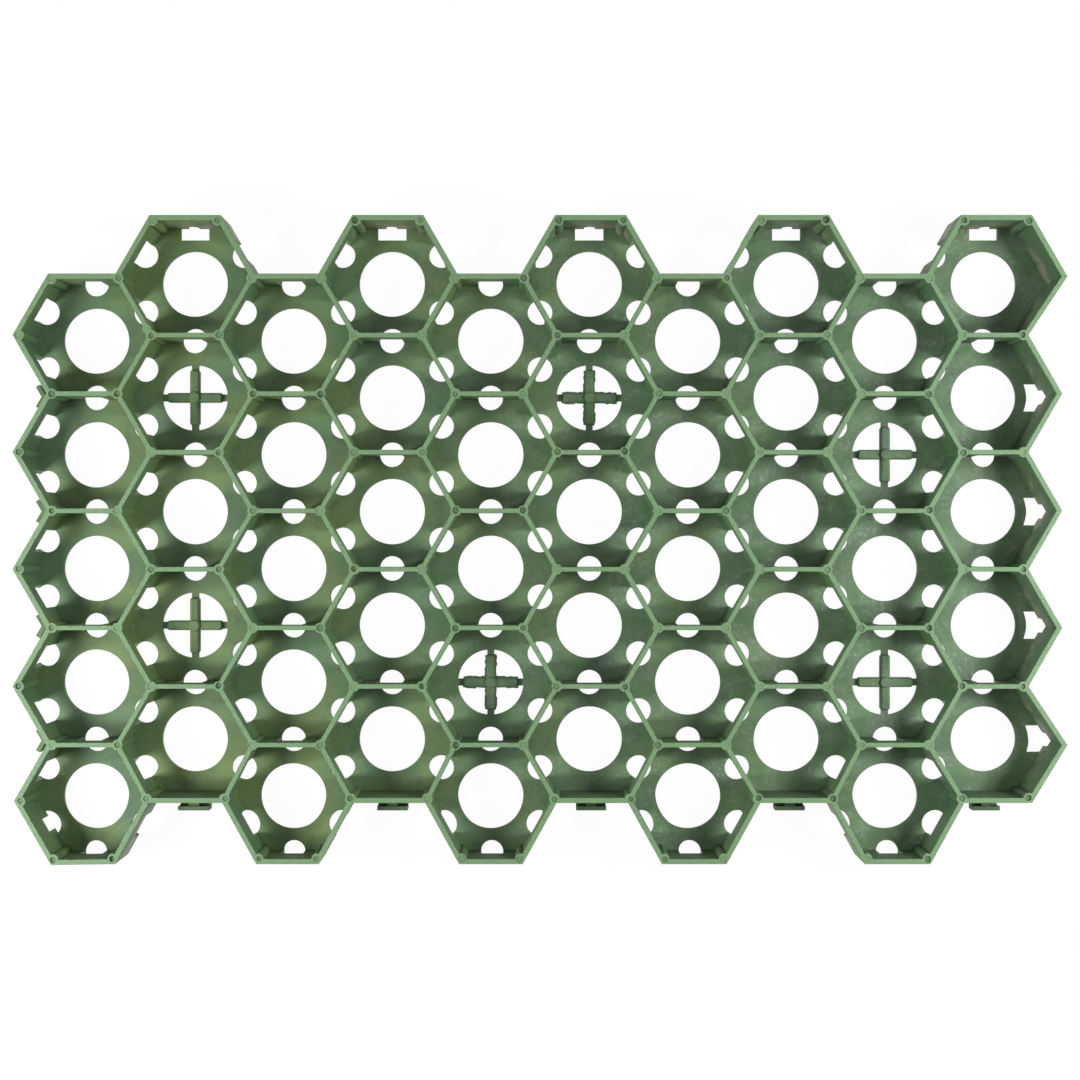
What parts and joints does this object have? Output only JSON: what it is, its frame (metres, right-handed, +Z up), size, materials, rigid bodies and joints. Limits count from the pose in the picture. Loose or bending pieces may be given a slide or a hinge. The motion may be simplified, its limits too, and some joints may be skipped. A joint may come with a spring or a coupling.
{
  "type": "grass paver grid",
  "caption": "Moulded plastic honeycomb paving panel with a perforated floor, notched cell walls, hooks on two sides and matching slots on the other two.",
  "frame": {"origin": "centre of the panel on its underside", "axes": "+X along the rows, towards the side with corner slots; +Y towards the side with floor slots; +Z up, from the floor plate to the open rims"},
  "size_m": [0.7206, 0.444, 0.032],
  "materials": {
    "green_plastic": "dull moulded recycled polyethylene, paler on the rims, with dusty mottling"
  },
  "bodies": {
    "root": {"paver_grid": "green_plastic"}
  },
  "joints": []
}
